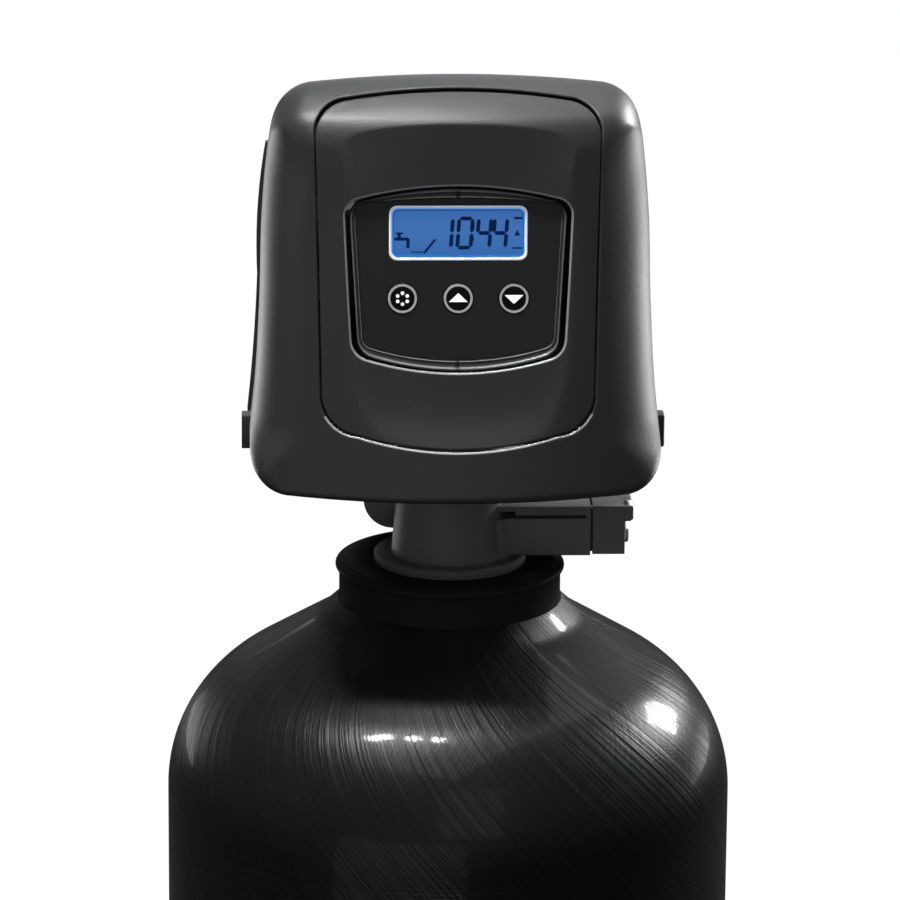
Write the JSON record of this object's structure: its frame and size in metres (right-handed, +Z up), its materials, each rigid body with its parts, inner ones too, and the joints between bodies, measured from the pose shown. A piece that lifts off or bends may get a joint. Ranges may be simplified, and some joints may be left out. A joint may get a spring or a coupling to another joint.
{
  "type": "water filter",
  "caption": "Whole house sediment filter: a tall wound pressure tank with a backwashing control valve, display, keys, bypass valve and threaded ports.",
  "frame": {"origin": "on the floor, on the axis of the tank", "axes": "+Z up along the tank; -Y is the front with the display; +X is to the right seen from the front"},
  "size_m": [0.27, 0.293, 1.6148],
  "materials": {
    "wound_shell": "gloss",
    "base_black": "satin",
    "liner_natural": "satin",
    "neck_black": "satin",
    "white_pipe": "satin",
    "basket_white": "satin",
    "gravel": "matte",
    "media": "matte",
    "seal_rubber": "matte",
    "valve_black": "satin",
    "stack_grey": "satin",
    "piston_white": "gloss",
    "steel": "satin",
    "plate_black": "matte",
    "gear_white": "satin",
    "motor_metal": "satin",
    "cover_black": "satin",
    "overlay_black": "satin",
    "frame_pale": "gloss",
    "lcd_blue": "gloss",
    "lens": "gloss",
    "button_black": "satin",
    "board_green": "satin",
    "switch_black": "satin"
  },
  "bodies": {
    "filter": {"tank_shell": "wound_shell", "tank_base": "base_black", "tank_liner": "liner_natural", "tank_neck": "neck_black", "riser_tube": "white_pipe", "bottom_distributor": "basket_white", "top_distributor": "basket_white", "gravel_bed": "gravel", "filter_media": "media", "tank_o_ring": "seal_rubber", "valve_body": "valve_black", "piston_seals": "seal_rubber", "seal_spacers": "stack_grey", "end_plug": "valve_black", "injector_cap": "valve_black", "injector_gasket": "seal_rubber", "injector_plug": "stack_grey", "body_screws": "steel", "coupling_clip": "steel", "drain_elbow": "valve_black", "drain_flow_washer": "seal_rubber", "drain_clip": "steel", "drive_plate": "plate_black", "plate_screws": "steel", "motor_gearbox": "gear_white", "drive_motor": "motor_metal", "gear_axle": "steel", "position_switches": "switch_black", "display_posts": "plate_black", "display_housing": "cover_black", "display_overlay": "overlay_black", "lcd_frame": "frame_pale", "lcd_panel": "lcd_blue", "lcd_window": "lens", "control_board": "board_green", "button_switches": "switch_black", "rear_cover": "cover_black", "bypass_body": "valve_black", "bypass_couplings": "stack_grey", "coupling_o_rings": "seal_rubber", "inlet_adapter": "valve_black", "outlet_adapter": "valve_black"},
    "drive_gear": {"drive_gear": "gear_white", "position_cam": "plate_black"},
    "motor_pinion": {"motor_pinion": "gear_white"},
    "piston": {"piston": "piston_white", "piston_rod": "steel", "piston_yoke": "gear_white"},
    "cover": {"front_cover": "cover_black", "front_panel": "cover_black"},
    "right_latch": {"right_latch": "cover_black"},
    "left_latch": {"left_latch": "cover_black"},
    "cycle_button": {"cycle_button": "button_black"},
    "up_button": {"up_button": "button_black"},
    "down_button": {"down_button": "button_black"},
    "bypass_handle": {"bypass_rotor": "valve_black", "bypass_knob": "valve_black"}
  },
  "joints": [
    {"name": "drive_turn", "type": "hinge", "parent": "filter", "child": "drive_gear", "pos_m": [0, -0.0264, 1.554], "axis": [0, 1, 0], "range_deg": [0, 180]},
    {"name": "pinion_spin", "type": "hinge", "parent": "filter", "child": "motor_pinion", "pos_m": [-0.04285, -0.0264, 1.5384], "axis": [0, 1, 0], "range_deg": [-600, 0]},
    {"name": "piston_slide", "type": "slide", "parent": "filter", "child": "piston", "axis": [0, 0, 1], "range_m": [0, 0.024]},
    {"name": "cover_pull", "type": "slide", "parent": "filter", "child": "cover", "axis": [0, -1, 0], "range_m": [0, 0.12]},
    {"name": "right_latch_press", "type": "slide", "parent": "cover", "child": "right_latch", "axis": [-1, 0, 0], "range_m": [0, 0.002], "stiffness_N_per_m": 1500, "springref_m": -0.0006},
    {"name": "left_latch_press", "type": "slide", "parent": "cover", "child": "left_latch", "axis": [1, 0, 0], "range_m": [0, 0.002], "stiffness_N_per_m": 1500, "springref_m": -0.0006},
    {"name": "cycle_button_press", "type": "slide", "parent": "filter", "child": "cycle_button", "axis": [0, 0.9877, -0.1564], "range_m": [0, 0.0006], "stiffness_N_per_m": 800, "springref_m": -0.0003},
    {"name": "up_button_press", "type": "slide", "parent": "filter", "child": "up_button", "axis": [0, 0.9877, -0.1564], "range_m": [0, 0.0006], "stiffness_N_per_m": 800, "springref_m": -0.0003},
    {"name": "down_button_press", "type": "slide", "parent": "filter", "child": "down_button", "axis": [0, 0.9877, -0.1564], "range_m": [0, 0.0006], "stiffness_N_per_m": 800, "springref_m": -0.0003},
    {"name": "bypass_turn", "type": "hinge", "parent": "filter", "child": "bypass_handle", "pos_m": [0, 0.098, 1.408], "axis": [1, 0, 0], "range_deg": [0, 90]}
  ],
  "couplings": [
    {"joint": "pinion_spin", "follows": "drive_turn", "ratio": -3.2222},
    {"joint": "piston_slide", "follows": "drive_turn", "m_per_rad": 0.0076394}
  ]
}
